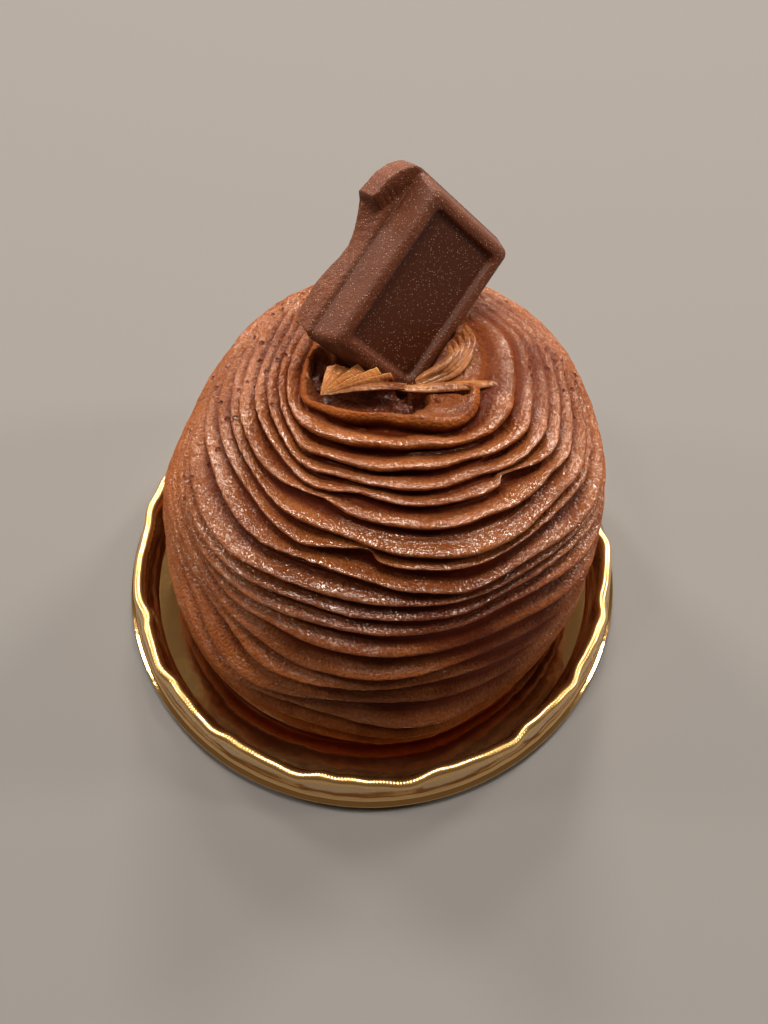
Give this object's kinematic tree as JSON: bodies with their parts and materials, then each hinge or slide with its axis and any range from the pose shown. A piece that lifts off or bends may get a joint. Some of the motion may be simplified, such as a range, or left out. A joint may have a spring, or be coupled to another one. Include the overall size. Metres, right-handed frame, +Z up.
{
  "type": "mont blanc pastry",
  "caption": "Domed pastry of ridged piped chocolate cream in a shallow gold foil tray, with a broken-off chocolate bar piece planted in its crown.",
  "frame": {"origin": "centre of the tray's underside, on the surface it stands on", "axes": "+Z up; +X to the right and -Y towards the viewer of the shown side, where the moulded face of the chocolate looks"},
  "size_m": [0.0794, 0.0806, 0.0752],
  "materials": {
    "foil": "gold lacquered foil, bright and wrinkled at the rim",
    "cream": "soft piped chocolate cream, moist with fine sparkles",
    "chocolate": "moulded milk chocolate, satin and finely grained"
  },
  "bodies": {
    "root": {"tray": "foil", "cream": "cream", "chocolate": "chocolate"}
  },
  "joints": []
}
